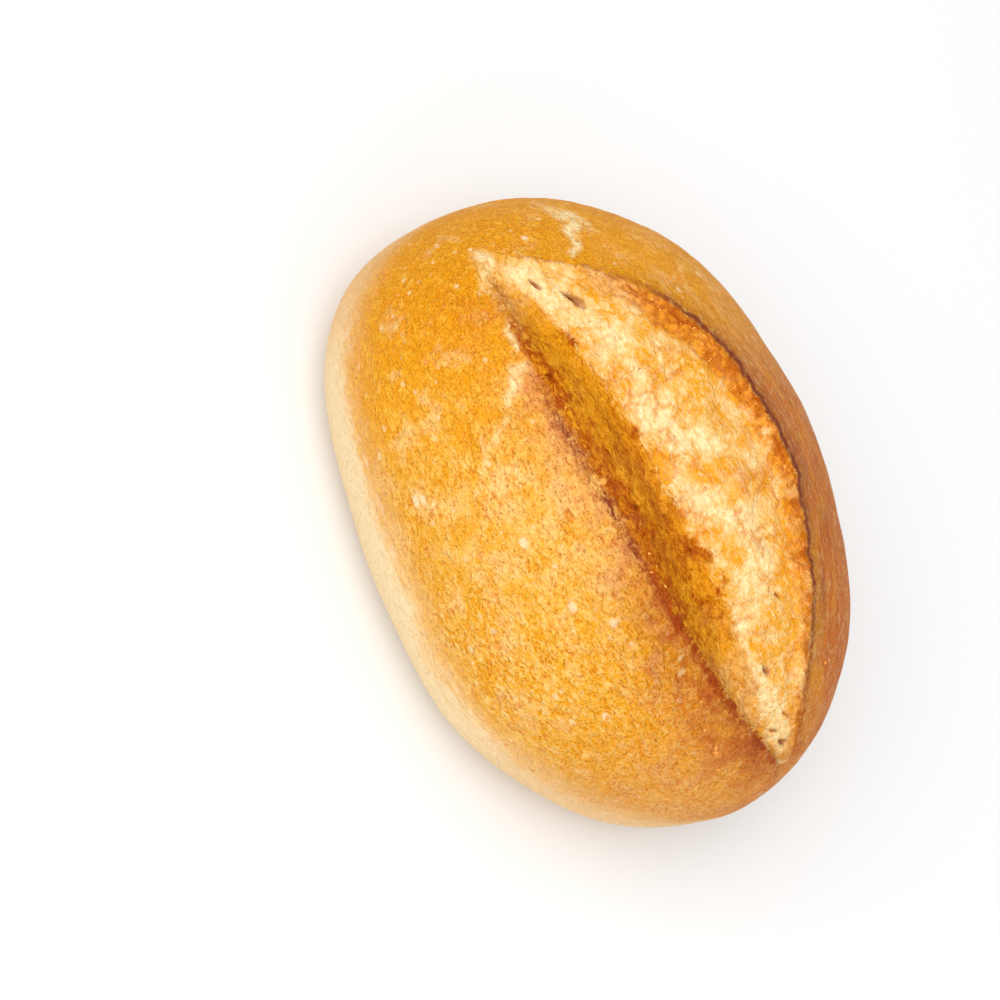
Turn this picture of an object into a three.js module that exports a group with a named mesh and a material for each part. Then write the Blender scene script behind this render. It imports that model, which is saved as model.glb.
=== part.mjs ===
// An oval wheat roll with a flat base and one long lengthwise split.
//
// Frame: millimetres, +Z up, the length along X. The origin is the middle of the flat base.
// The body is one lofted skin. Each cross-section is a rounded arch over a flat bottom. The split
// runs along the crown, from a blunt end at -X to a long taper at +X: the left lobe (-Y) rolls down
// into a valley, the torn floor bulges up out of it, and the right lobe (+Y) ends in a raised ear.

import * as THREE from 'three';
import { ParametricGeometry } from 'three/addons/geometries/ParametricGeometry.js';
import { mergeVertices } from 'three/addons/utils/BufferGeometryUtils.js';

// --- Driving dimensions --------------------------------------------------------------------------

const LENGTH = 106;
const LEFT_WIDTH = 36.9;        // spine to left flank, at mid length
const RIGHT_WIDTH = 38.9;       // spine to right flank, at mid length
const HEIGHT = 52;
const BELLY_HEIGHT = 17;        // height at which the roll is widest
const BASE_SINK = 4;            // how far the round bottom would reach below the flat base
const BASE_EDGE = 1.2;          // softness of the base's edge
const SPINE_BEND = -2.5;        // sideways bend of the spine at both ends

const LEFT_TAPER = [0.134, -0.012, -0.286];    // plan-view fullness along the left flank
const RIGHT_TAPER = [-0.114, 0.150, 0.121];    // plan-view fullness along the right flank
const ARCH_ROUNDNESS = 2.2;     // superellipse exponents: section above and below the belly,
const BOTTOM_ROUNDNESS = 2.8;
const CROWN_ROUNDNESS = 2.3;    // and the side views of the crown and of the bottom
const KEEL_ROUNDNESS = 3.2;

const SPLIT_CENTRE = 0.045;     // along the length, from -1 to 1
const SPLIT_REACH = 0.88;       // half its length, on the same scale
const SPLIT_WIDTH = 0.423;      // half its width, as a share of the half section
const SPLIT_BLUNT = 0.456;      // exponents of its outline: blunt at -X, tapered at +X
const SPLIT_TAPER = 0.667;
const SPLIT_LINE = [-0.008, 0, -0.359, -0.089, 0.211, 0.444];    // its middle line's curve
const SPLIT_PINCH = 0.035;      // width that its two edge lines keep beyond its ends
const BLUNT_END = 0.2;          // share of its reach in which it opens to full depth at -X
const TAPER_FADE = 1.8;         // how late its depth fades towards +X

const VALLEY_DEPTH = 6;
const VALLEY_PLACE = 0.31;      // share of the split's width taken by the left wall
const VALLEY_BED = 0.16;        // share of the rest that lies flat in the wide half
const FLOOR_DEPTH = 1.5;        // floor below the crown, just inside the ear
const FLOOR_BULGE = 2.6;        // how early the floor swells up out of the valley
const EAR_HEIGHT = 1.7;
const EAR_WIDTH = 4.5;          // outward slope of the ear
const EAR_INNER_WIDTH = 1.6;    // and its steeper slope inside the split
const EAR_LEAN = 1.1;           // overhang of the ear towards the split
const LIP_HEIGHT = 0.9;
const LIP_WIDTH = 7;

const CRUST_WAVE = 0.55;        // broad unevenness of the crust
const CRUST_WAVE_LENGTH = 34;
const CRUMB_LUMP = 0.5;         // torn lumps of the floor, stretched across the split
const CRUMB_LUMP_LENGTH = 9;
const CRUMB_STRETCH = 0.75;
const EAR_CRAG = 0.6;           // notches along the ear
const EAR_CRAG_LENGTH = 4.6;
const LIP_CRAG = 0.35;          // and along the left lip
const LIP_CRAG_LENGTH = 5.5;
const CREASE_DEPTH = 0.5;       // soft crease low on the left flank
const CREASE_HEIGHT = 19;
const CREASE_WIDTH = 2.2;
const CREASE_MIDDLE = -8;       // where it is deepest along the length, and how fast it fades
const CREASE_REACH = 30;

const STATIONS = 64;            // steps along the length
const ZONE_STEPS = [25, 6, 12, 24];    // steps round a section: left side, wall, floor, right side

// --- Small helpers -------------------------------------------------------------------------------

const clamp = (value, low, high) => Math.min(high, Math.max(low, value));

// From 0 at the first value to 1 at the second, which may be the smaller one.
function smoothstep(start, end, value) {
  const t = clamp((value - start) / (end - start), 0, 1);
  return t * t * (3 - 2 * t);
}

function polynomial(factors, value) {
  return factors.reduceRight((sum, factor) => sum * value + factor, 0);
}

const signedPower = (value, exponent) => Math.sign(value) * Math.abs(value) ** exponent;

const bell = (distance, width) => Math.exp(-((distance / width) ** 2));

// A smooth, repeatable unevenness between about -1 and 1: seven sine waves whose directions are
// spread evenly over a sphere.
function unevenness(x, y, z, wavelength, seed) {
  const waves = 7;
  const goldenAngle = Math.PI * (3 - Math.sqrt(5));
  let sum = 0;
  for (let i = 0; i < waves; i += 1) {
    const lift = 1 - (2 * i + 1) / waves;
    const ring = Math.sqrt(1 - lift * lift);
    const turn = i * goldenAngle + seed;
    const along = ring * Math.cos(turn) * x + ring * Math.sin(turn) * y + lift * z;
    const pace = 1 + 0.35 * Math.sin(3.7 * i + seed);
    sum += Math.sin((2 * Math.PI * along * pace) / wavelength + 5.1 * i + 2.3 * seed);
  }
  return sum / Math.sqrt(waves * 2);
}

// --- The whole form ------------------------------------------------------------------------------

// Half section sizes at the station p, from -1 to 1 along the length.
function sectionAt(p) {
  const plan = Math.sqrt(Math.max(0, 1 - p * p));
  const crown = Math.max(0, 1 - Math.abs(p) ** CROWN_ROUNDNESS) ** (1 / CROWN_ROUNDNESS);
  const keel = Math.max(0, 1 - Math.abs(p) ** KEEL_ROUNDNESS) ** (1 / KEEL_ROUNDNESS);
  return {
    left: LEFT_WIDTH * plan * (1 + p * polynomial(LEFT_TAPER, p)),
    right: RIGHT_WIDTH * plan * (1 + p * polynomial(RIGHT_TAPER, p)),
    above: (HEIGHT - BELLY_HEIGHT) * crown,
    below: (BELLY_HEIGHT + BASE_SINK) * keel,
    spine: SPINE_BEND * p * p,
  };
}

// The flat base, with a soft edge.
function restOnBase(z) {
  if (z < -BASE_EDGE) return 0;
  if (z > BASE_EDGE) return z;
  return ((z + BASE_EDGE) ** 2) / (4 * BASE_EDGE);
}

// A point of the plain form and its outward direction in the section. The angle is measured from
// the top: negative on the left, positive on the right, plus or minus PI at the bottom.
function plainPoint(section, angle) {
  const side = Math.sin(angle);
  const rise = Math.cos(angle);
  const width = side < 0 ? section.left : section.right;
  const roundness = rise < 0 ? BOTTOM_ROUNDNESS : ARCH_ROUNDNESS;
  const reach = rise < 0 ? section.below : section.above;
  const across = signedPower(side, 2 / roundness);
  const up = signedPower(rise, 2 / roundness);
  const outY = signedPower(across, roundness - 1) * reach;
  const outZ = signedPower(up, roundness - 1) * width;
  const size = Math.hypot(outY, outZ) || 1;
  return {
    y: section.spine + width * across,
    z: BELLY_HEIGHT + reach * up,
    outY: outY / size,
    outZ: outZ / size,
  };
}

// --- The split -----------------------------------------------------------------------------------

// Its two edges at the station p, as shares of the half section, and its place q from -1 to 1.
function splitAt(p) {
  const q = (p - SPLIT_CENTRE) / SPLIT_REACH;
  const inside = clamp(q, -1, 1);
  const lens = SPLIT_WIDTH * (1 + inside) ** SPLIT_BLUNT * (1 - inside) ** SPLIT_TAPER;
  const half = Math.hypot(lens, SPLIT_PINCH);
  const middle = polynomial(SPLIT_LINE, p);
  const opening = 1 - Math.exp(-(1 + inside) / BLUNT_END);
  const closing = 1 - Math.max(0, inside) ** TAPER_FADE;
  return { q: inside, lip: middle - half, ear: middle + half, depth: opening * closing };
}

const angleOf = (share) => Math.sign(share) * Math.asin(Math.abs(share) ** (ARCH_ROUNDNESS / 2));

// How the valley's place moves along the split: it nears the lip towards the tapered end.
function valleyShare(q) {
  return VALLEY_PLACE * (1 - 0.62 * smoothstep(0.15, 0.95, q)) * (0.7 + 0.3 * smoothstep(-1, -0.5, q));
}

// The lip rolls over softly at the blunt end and is crisp towards the taper.
const lipRoll = (q) => 1.7 - 0.9 * smoothstep(-0.2, 0.45, q);

// Height above the plain form, at the share t across the split: 0 at the lip, 1 at the ear.
function splitRelief(t, q, depth) {
  const valley = valleyShare(q);
  if (t < valley) {
    const fall = Math.sin((Math.PI / 2) * (t / valley) ** lipRoll(q));
    return depth * (LIP_HEIGHT - (LIP_HEIGHT + VALLEY_DEPTH) * fall);
  }
  const bed = VALLEY_BED * smoothstep(0.3, -0.3, q);
  const climb = Math.max(0, (t - valley) / (1 - valley) - bed) / (1 - bed);
  const rise = 1 - (1 - climb) ** FLOOR_BULGE;
  return -depth * (VALLEY_DEPTH - (VALLEY_DEPTH - FLOOR_DEPTH) * rise);
}

// --- The skin ------------------------------------------------------------------------------------

// The section is walked in four zones, so that rows of points follow the lip, valley and ear.
function angleAt(walk, split, valleyAngle) {
  const stops = [-Math.PI, angleOf(split.lip), valleyAngle, angleOf(split.ear), Math.PI];
  const total = ZONE_STEPS.reduce((sum, steps) => sum + steps, 0);
  let step = Math.round(walk * total);
  for (let zone = 0; zone < ZONE_STEPS.length; zone += 1) {
    if (step <= ZONE_STEPS[zone]) {
      return stops[zone] + ((stops[zone + 1] - stops[zone]) * step) / ZONE_STEPS[zone];
    }
    step -= ZONE_STEPS[zone];
  }
  return Math.PI;
}

function skinPoint(walk, run, target) {
  const p = Math.cos(Math.PI * run);
  const x = (LENGTH / 2) * p;
  const section = sectionAt(p);
  const split = splitAt(p);
  const valley = split.lip + (split.ear - split.lip) * valleyShare(split.q);
  const angle = angleAt(walk, split, angleOf(valley));
  const plain = plainPoint(section, angle);

  const width = plain.y < section.spine ? section.left : section.right;
  const share = signedPower(Math.sin(angle), 2 / ARCH_ROUNDNESS);
  const t = (share - split.lip) / (split.ear - split.lip);
  const beyondEar = Math.max(0, share - split.ear) * width;
  const beforeLip = Math.max(0, split.lip - share) * width;
  const onTop = smoothstep(-0.1, 0.35, Math.cos(angle));
  const inSplit = t > 0 && t < 1 && onTop > 0;

  const earNotch = EAR_CRAG * unevenness(x, 0, 0, EAR_CRAG_LENGTH, 4);
  const lipNotch = LIP_CRAG * unevenness(x, 0, 0, LIP_CRAG_LENGTH, 9);
  const beforeEar = Math.max(0, split.ear - share) * width;
  const earSlope = inSplit ? bell(beforeEar, EAR_INNER_WIDTH) : bell(beyondEar, EAR_WIDTH);
  const ear = earSlope * split.depth * onTop;
  const lip = (inSplit ? 0 : bell(beforeLip, LIP_WIDTH)) * split.depth * onTop;

  let relief = CRUST_WAVE * unevenness(x, plain.y, plain.z, CRUST_WAVE_LENGTH, 2);
  if (inSplit) {
    const coarse = unevenness(x, plain.y * CRUMB_STRETCH, 0, CRUMB_LUMP_LENGTH, 6);
    const fine = unevenness(x, plain.y * CRUMB_STRETCH, 0, CRUMB_LUMP_LENGTH / 2, 1);
    const lump = coarse + fine / 2;
    const torn = split.depth * smoothstep(0, 0.2, t) * smoothstep(1, 0.85, t);
    relief += splitRelief(t, split.q, split.depth) + CRUMB_LUMP * torn * lump;
  }
  if (t > 0.5) relief += ear * (EAR_HEIGHT + earNotch + (inSplit ? FLOOR_DEPTH : 0));
  if (t <= 0) relief += lip * (LIP_HEIGHT + lipNotch);

  if (plain.y < section.spine) {
    const alongCrease = bell(x - CREASE_MIDDLE, CREASE_REACH);
    relief -= CREASE_DEPTH * alongCrease * bell(plain.z - CREASE_HEIGHT, CREASE_WIDTH);
  }
  const nearPole = smoothstep(1, 0.97, Math.abs(p));
  const lean = t > 0.5 ? -EAR_LEAN * ear : 0;
  const y = plain.y + (plain.outY * relief + lean) * nearPole;
  const z = plain.z + plain.outZ * relief * nearPole;
  target.set(x, y, restOnBase(z));
}

// Drops the triangles that collapse to a line at the two ends.
function withoutSlivers(geometry) {
  const corners = geometry.index.array;
  const kept = [];
  for (let i = 0; i < corners.length; i += 3) {
    const [a, b, c] = corners.slice(i, i + 3);
    if (a !== b && b !== c && c !== a) kept.push(a, b, c);
  }
  geometry.setIndex(kept);
  return geometry;
}

function rollGeometry() {
  const around = ZONE_STEPS.reduce((sum, steps) => sum + steps, 0);
  const skin = new ParametricGeometry(skinPoint, around, STATIONS);
  skin.deleteAttribute('uv');
  skin.deleteAttribute('normal');
  const closed = withoutSlivers(mergeVertices(skin, 1e-4));
  closed.computeBoundingBox();
  const middle = closed.boundingBox.getCenter(new THREE.Vector3());
  closed.translate(-middle.x, -middle.y, -closed.boundingBox.min.z);
  closed.computeVertexNormals();
  return closed;
}

// --- The part ------------------------------------------------------------------------------------

const crust = new THREE.MeshStandardMaterial({ color: 0xd9983f, roughness: 0.6, metalness: 0 });

const roll = new THREE.Mesh(rollGeometry(), crust);
roll.name = 'roll';

const part = new THREE.Group();
part.add(roll);

export default part;
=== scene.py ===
"""An oval crusty roll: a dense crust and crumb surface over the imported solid, with its small pieces."""

import math

import bpy
import numpy as np
from bpy.props import FloatProperty, FloatVectorProperty, IntProperty, PointerProperty
from mathutils import Matrix, Vector


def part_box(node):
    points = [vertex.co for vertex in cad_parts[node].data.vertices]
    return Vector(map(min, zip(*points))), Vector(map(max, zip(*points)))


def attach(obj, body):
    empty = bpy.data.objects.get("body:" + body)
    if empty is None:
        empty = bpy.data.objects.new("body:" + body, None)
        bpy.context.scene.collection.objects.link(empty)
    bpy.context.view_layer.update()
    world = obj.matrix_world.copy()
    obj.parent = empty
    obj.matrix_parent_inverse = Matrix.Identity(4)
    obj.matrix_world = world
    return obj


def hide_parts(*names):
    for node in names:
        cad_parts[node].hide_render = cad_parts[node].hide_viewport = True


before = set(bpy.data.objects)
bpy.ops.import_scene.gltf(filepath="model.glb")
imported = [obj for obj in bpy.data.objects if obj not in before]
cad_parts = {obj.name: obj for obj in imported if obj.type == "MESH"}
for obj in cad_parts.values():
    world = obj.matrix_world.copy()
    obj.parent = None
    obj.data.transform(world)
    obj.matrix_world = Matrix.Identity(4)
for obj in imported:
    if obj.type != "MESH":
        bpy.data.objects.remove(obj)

bl_info = {
    "name": "Crusty Roll",
    "version": (1, 0, 0),
    "blender": (4, 5, 0),
    "location": "3D View > Sidebar > Roll",
    "description": "Builds an oval crusty roll with a torn lengthwise split",
    "category": "Add Mesh",
}

MM = 0.001
NODE = "roll"
BODY = "root"
CAD_LOW, CAD_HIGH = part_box(NODE)
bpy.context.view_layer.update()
LENGTH = (CAD_HIGH.x - CAD_LOW.x) / MM
HEIGHT = 52.0
GOLDEN_ANGLE = math.pi * (3 - math.sqrt(5))


def linear(red, green, blue):
    """A colour from its 0 to 255 screen values to scene linear."""
    shares = [value / 255 for value in (red, green, blue)]
    return tuple(s / 12.92 if s <= 0.04045 else ((s + 0.055) / 1.055) ** 2.4 for s in shares)


# --- Sizes and colours a user would change -------------------------------------------------------


def number(name, default, description):
    """A size or an amount that a user would change."""
    return FloatProperty(name=name, default=default, description=description)


def colour(name, default, description):
    """A colour that a user would change."""
    return FloatVectorProperty(
        name=name, default=default, description=description, subtype="COLOR", size=3, min=0, max=1
    )


class RollForm(bpy.types.PropertyGroup):
    """Sizes of the split and of the surface, in millimetres where a length."""

    valley_depth: number("Valley depth", 6.0, "Depth of the valley below the crown, in mm")
    floor_depth: number("Floor depth", 1.5, "Depth of the floor just inside the ear, in mm")
    ear_height: number("Ear height", 1.7, "Rise of the ear above the right lobe, in mm")
    ear_lean: number("Ear lean", 1.1, "Overhang of the ear towards the split, in mm")
    lip_height: number("Lip height", 0.9, "Rise of the left lip, in mm")
    crumb_lump: number("Crumb lumps", 0.5, "Height of the torn lumps of the floor, in mm")
    bubble_size: number("Bubble size", 4.2, "Width of the crumb's burst bubbles, in mm")
    bubble_height: number("Bubble height", 0.8, "Height of the crumb's bubbles, in mm")
    crag_height: number("Crag height", 1.0, "Height of the crags in the valley and at both edges, in mm")
    wrinkle_size: number("Wrinkle size", 2.4, "Spacing of the crust's fine wrinkles, in mm")
    wrinkle_height: number("Wrinkle height", 0.09, "Height of the crust's fine wrinkles, in mm")
    seed: IntProperty(name="Seed", default=7, description="Picks another crumb and crust")


class RollFinish(bpy.types.PropertyGroup):
    """Colours of the crust and the crumb."""

    gold: colour("Golden crust", linear(236, 166, 8), "The lobes' main colour")
    honey: colour("Honey crust", linear(229, 151, 2), "The deeper gold at the blunt end")
    # On the left lobe's crown this pale crust is partly a painted soft highlight.
    blush: colour("Pale crust", linear(246, 188, 86), "The lighter crown of the left lobe")
    amber_crust: colour("Amber crust", linear(210, 112, 6), "The browner crust at the taper")
    russet: colour("Russet crust", linear(180, 66, 6), "The right lobe beyond the ear")
    brown: colour("Browned crust", linear(160, 62, 2), "The crust along the lip")
    plum: colour("Charred edge", linear(134, 60, 34), "The darkest line of the lip and the ear")
    rose: colour("Rosy crust", linear(226, 134, 74), "The browned crust beside the lip")
    apricot: colour("Apricot crust", linear(244, 168, 72), "The crust at the taper")
    straw: colour("Straw crust", linear(250, 190, 34), "The fine pale mottling of the golden crust")
    cream_side: colour("Pale flank", linear(248, 220, 172), "The less baked band low on the flank")
    crumb: colour("Crumb", linear(253, 232, 176), "The torn crumb")
    # Baked crumb: the crumb's own colour in its blotches, and partly painted shade in its hollows.
    crumb_gold: colour("Baked crumb", linear(236, 160, 26), "The crumb's hollows and blotches")
    # Valley: partly the old crumb's own colour and partly painted shade down in the valley.
    valley: colour("Valley", linear(200, 116, 4), "The old crumb down in the valley")
    toast: colour("Toasted crumb", linear(238, 148, 36), "The crumb beside the ear")


class RollDetails(bpy.types.PropertyGroup):
    """Small pieces on the surface."""

    blister_density: number("Blister density", 40000.0, "Blisters for each square metre of crust")
    blister_size: number("Blister size", 0.5, "Radius of the largest blister, in mm")
    flake_density: number("Flake density", 1500000.0, "Flakes for each square metre of edge")
    flake_size: number("Flake size", 0.34, "Radius of the largest toasted flake, in mm")


class RollStage(bpy.types.PropertyGroup):
    """The floor, the light and the camera."""

    floor: colour("Floor", (0.82, 0.82, 0.82), "Colour of the pale floor")
    key_power: number("Key power", 6.5, "Power of the large soft light, in watts")
    low_power: number("Low light power", 1.7, "Power of the weaker light low at the taper, in watts")
    fill: number("Fill", 0.72, "Strength of the even light from all round")


# --- Node trees ----------------------------------------------------------------------------------


class Socket:
    """A node's output. Sums and products of sockets add Math nodes."""

    def __init__(self, net, link):
        self.net = net
        self.link = link

    def __add__(self, other):
        return self.net.maths("ADD", self, other)

    __radd__ = __add__

    def __sub__(self, other):
        return self.net.maths("SUBTRACT", self, other)

    def __rsub__(self, other):
        return self.net.maths("SUBTRACT", other, self)

    def __mul__(self, other):
        return self.net.maths("MULTIPLY", self, other)

    __rmul__ = __mul__

    def __truediv__(self, other):
        return self.net.maths("DIVIDE", self, other)

    def __rtruediv__(self, other):
        return self.net.maths("DIVIDE", other, self)

    def output(self, key):
        """Another output of the same node, by name or number."""
        return Socket(self.net, self.link.node.outputs[key])


class Net:
    """Adds nodes to one shader or geometry tree."""

    def __init__(self, tree):
        self.tree = tree
        tree.nodes.clear()

    def node(self, kind, settings=None, inputs=None, output=0):
        """Adds a node. Its settings come first, then its sockets by name or number."""
        made = self.tree.nodes.new(kind)
        for name, value in (settings or {}).items():
            setattr(made, name, value)
        for key, value in (inputs or {}).items():
            socket = made.inputs[key]
            if isinstance(value, Socket):
                self.tree.links.new(value.link, socket)
            else:
                socket.default_value = value
        return Socket(self, made.outputs[output]) if len(made.outputs) else made

    def maths(self, operation, *values):
        """A Math node."""
        return self.node("ShaderNodeMath", {"operation": operation}, dict(enumerate(values)))

    def vectors(self, operation, first, second):
        """A Vector Math node on two vectors."""
        return self.node("ShaderNodeVectorMath", {"operation": operation}, {0: first, 1: second})

    def rise(self, value, start, end):
        """From 0 at the start to 1 at the end, smoothly."""
        limits = {"Value": value, "From Min": start, "From Max": end}
        return self.node("ShaderNodeMapRange", {"interpolation_type": "SMOOTHSTEP"}, limits)

    def bell(self, value, width):
        """1 where the value is 0, falling away over the width on both sides."""
        away = value / width
        return self.maths("EXPONENT", away * away * -1.0)

    def either(self, first, second):
        """The greater of the two."""
        return self.maths("MAXIMUM", first, second)

    def blend(self, factor, first, second):
        """Mixes two colours."""
        limited = self.maths("MINIMUM", self.maths("MAXIMUM", factor, 0.0), 1.0)
        opaque = [c if isinstance(c, Socket) else (*c, 1.0) for c in (first, second)]
        inputs = {0: limited, 6: opaque[0], 7: opaque[1]}
        return self.node("ShaderNodeMix", {"data_type": "RGBA"}, inputs, output=2)


def noise(net, vector, scale, detail=2.0, roughness=0.5, distortion=0.0):
    """Noise about 0, between -0.5 and 0.5."""
    inputs = {
        "Vector": vector, "Scale": scale, "Detail": detail,
        "Roughness": roughness, "Distortion": distortion,
    }
    return net.node("ShaderNodeTexNoise", inputs=inputs) - 0.5


def near_ends(net, along):
    """1 towards both ends of the split."""
    return net.either(net.rise(along, -0.45, -0.75), net.rise(along, 0.6, 0.9))


# --- The form, in millimetres --------------------------------------------------------------------

LEFT_WIDTH = 36.9  # spine to left flank, at mid length
RIGHT_WIDTH = 38.9  # spine to right flank, at mid length
BELLY_HEIGHT = 17.0  # height at which the roll is widest
BASE_SINK = 4.0  # how far the round bottom would reach below the flat base
BASE_EDGE = 1.2  # softness of the base's edge
SPINE_BEND = -2.5  # sideways bend of the spine at both ends
LEFT_TAPER = (0.134, -0.012, -0.286)  # plan-view fullness along the left flank
RIGHT_TAPER = (-0.114, 0.150, 0.121)  # and along the right flank
ARCH_ROUNDNESS = 2.2  # superellipse exponents: section above and below the belly,
BOTTOM_ROUNDNESS = 2.8
CROWN_ROUNDNESS = 2.3  # and the side views of the crown and of the bottom
KEEL_ROUNDNESS = 3.2

SPLIT_CENTRE = 0.045  # along the length, from -1 to 1
SPLIT_REACH = 0.88  # half its length, on the same scale
SPLIT_WIDTH = 0.423  # half its width, as a share of the half section
SPLIT_BLUNT = 0.456  # exponents of its outline: blunt at -X, tapered at +X
SPLIT_TAPER = 0.667
SPLIT_LINE = (-0.008, 0.0, -0.359, -0.089, 0.211, 0.444)  # its middle line's curve
SPLIT_PINCH = 0.035  # width that its two edge lines keep beyond its ends
BLUNT_END = 0.3  # share of its reach in which it opens to full depth at -X
TAPER_FADE = 1.8  # how late its depth fades towards +X
VALLEY_PLACE = 0.31  # share of the split's width taken by the left wall
VALLEY_NARROWING = 0.62  # how much of that is lost towards the taper
VALLEY_BLUNT_SHARE = 0.7  # and how much is left at the blunt end
VALLEY_BED = 0.16  # share of the rest that lies flat in the wide half
WALL_ROLL = 1.7  # how late the wall falls at the blunt end,
WALL_ROLL_EASING = 0.9  # and how much sooner at the taper
FLOOR_BULGE = 2.6  # how early the floor swells up out of the valley
EAR_WIDTH = 4.5  # outward slope of the ear
EAR_INNER_WIDTH = 1.6  # and its steeper slope inside the split
LIP_WIDTH = 7.0
CRUST_WAVE = 0.55  # broad unevenness of the crust
CRUST_WAVE_LENGTH = 34.0
CRUMB_LUMP_LENGTH = 9.0  # torn lumps of the floor, stretched across the split
CRUMB_STRETCH = 0.75
EAR_CRAG = 0.35  # notches along the ear
EAR_CRAG_LENGTH = 4.6
LIP_CRAG = 0.35  # and along the left lip
LIP_CRAG_LENGTH = 5.5
CREASE_DEPTH = 0.25  # soft crease low on the left flank
CREASE_HEIGHT = 19.0
CREASE_WIDTH = 2.2
CREASE_MIDDLE = -8.0  # where it is deepest along the length, and how fast it fades
CREASE_REACH = 30.0

STATIONS = 336  # steps along the length
ZONE_STEPS = (92, 30, 76, 94)  # steps round a section: left side, wall, floor, right side
FINE_JAG = 0.28  # jags of the ear's line,
FINE_JAG_LENGTH = 1.9
LIP_JAG_SHARE = 0.6  # smaller along the lip's line,
LIP_JAG_SHIFT = 9  # and shifted along it by this many stations
MARK_DEPTH = 0.15  # depth of the pale stretch marks
FAR = 40.0  # distance from the split given to the whole underside
STRETCH_TURN = 37.0  # direction of the crumb's strands near both ends, in degrees

# Open pores: place along X and across Y, length, width, depth, and turn in degrees.
PORES = (
    (-32.8, -3.1, 4.6, 1.5, 1.8, 28.0),
    (-25.0, -15.2, 1.2, 0.8, 0.8, 60.0),
    (-1.4, -14.6, 1.6, 1.1, 1.3, 40.0),
    (9.1, -7.2, 0.8, 0.7, 0.9, 0.0),
    (43.6, -3.4, 2.6, 0.8, 0.7, 50.0),
    (41.0, -5.0, 2.4, 0.6, 0.5, 60.0),
    (39.6, -2.6, 2.0, 0.5, 0.5, 40.0),
    (-37.5, -6.6, 2.6, 0.6, 0.6, 18.0),
    (22.0, 1.6, 1.5, 0.7, 0.7, 35.0),
    (31.5, -4.4, 2.0, 0.8, 0.8, 40.0),
)

# Pale stretch marks: two ends in X and Y, width at the start, and strength.
STRETCH_MARKS = (
    ((-45.0, 8.2), (-41.4, 9.6), 2.2, 0.8),
    ((-42.6, 8.0), (-39.0, 2.0), 1.5, 0.9),
    ((-27.4, -18.2), (-24.0, -22.4), 2.2, 0.6),
    ((-24.0, -22.4), (-19.5, -25.2), 1.3, 0.35),
    ((-21.5, -26.6), (-14.6, -29.9), 0.9, 0.5),
    ((-16.0, -24.8), (-9.0, -27.6), 0.6, 0.35),
    ((-37.0, -12.2), (-31.0, -16.2), 1.7, 0.9),
    ((-44.8, -9.4), (-41.2, -13.2), 2.4, 0.8),
    ((20.6, -17.7), (24.8, -18.9), 0.5, 0.7),
    ((40.0, -6.2), (47.6, -3.0), 1.3, 0.8),
)
MARK_WARP = 0.9  # how far marks and patches are bent out of their places
MARK_WARP_LENGTH = 5.0

# Palest stretches of the crumb, written as the stretch marks are.
CREAM_LINES = (
    ((-44.5, -9.2), (-40.6, -7.3), 2.0, 1.0),
    ((-40.6, -7.3), (-32.2, -4.6), 3.0, 1.0),
    ((-32.2, -4.5), (-23.3, -1.2), 3.0, 0.95),
    ((-23.3, -1.2), (-15.0, -1.2), 2.8, 0.7),
    ((-13.5, -2.0), (-6.0, -1.0), 3.8, 0.95),
    ((-6.0, -1.0), (-4.0, 3.0), 3.8, 0.9),
    ((-1.0, -3.6), (3.0, -3.4), 2.8, 0.8),
    ((5.0, -2.0), (9.0, 2.0), 4.0, 0.9),
    ((10.0, 3.0), (16.0, 1.0), 3.6, 0.85),
    ((18.0, -2.0), (24.0, -5.5), 3.6, 0.6),
    ((28.0, -6.0), (35.0, -6.0), 3.6, 0.85),
    ((35.0, -6.0), (43.0, -3.2), 3.0, 0.95),
)

# Golden pools in the crumb: place along X and across Y, length, width, and turn in degrees.
GOLD_POOLS = (
    (-20.7, 2.2, 4.4, 3.0, 10.0),
    (-16.0, 2.4, 3.4, 2.0, -20.0),
    (-24.5, 5.2, 4.6, 2.6, 30.0),
    (-6.1, 8.2, 3.8, 2.2, 30.0),
    (-0.8, 8.1, 3.4, 2.8, 0.0),
    (-3.8, -4.4, 4.4, 3.0, 20.0),
    (13.3, -1.7, 4.4, 2.4, 0.0),
    (27.5, -4.5, 4.0, 2.8, 0.0),
)


def smoothstep(start, end, value):
    """From 0 at the start to 1 at the end, smoothly."""
    t = np.clip((value - start) / (end - start), 0.0, 1.0)
    return t * t * (3 - 2 * t)


def polynomial(factors, value):
    """The sum of each factor times the next power of the value."""
    total = 0.0
    for factor in reversed(factors):
        total = total * value + factor
    return total


def signed_power(value, exponent):
    """The value's power, with the value's own sign."""
    return np.sign(value) * np.abs(value) ** exponent


def bell(distance, width):
    """1 at no distance, falling away over the width on both sides."""
    return np.exp(-((distance / width) ** 2))


def unevenness(x, y, z, wavelength, seed):
    """Seven sine waves spread evenly over a sphere: between about -1 and 1."""
    waves = 7
    total = 0.0
    for i in range(waves):
        lift = 1 - (2 * i + 1) / waves
        ring = math.sqrt(1 - lift * lift)
        turn = i * GOLDEN_ANGLE + seed
        along = ring * math.cos(turn) * x + ring * math.sin(turn) * y + lift * z
        pace = 1 + 0.35 * math.sin(3.7 * i + seed)
        total = total + np.sin(2 * math.pi * along * pace / wavelength + 5.1 * i + 2.3 * seed)
    return total / math.sqrt(waves * 2)


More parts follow.
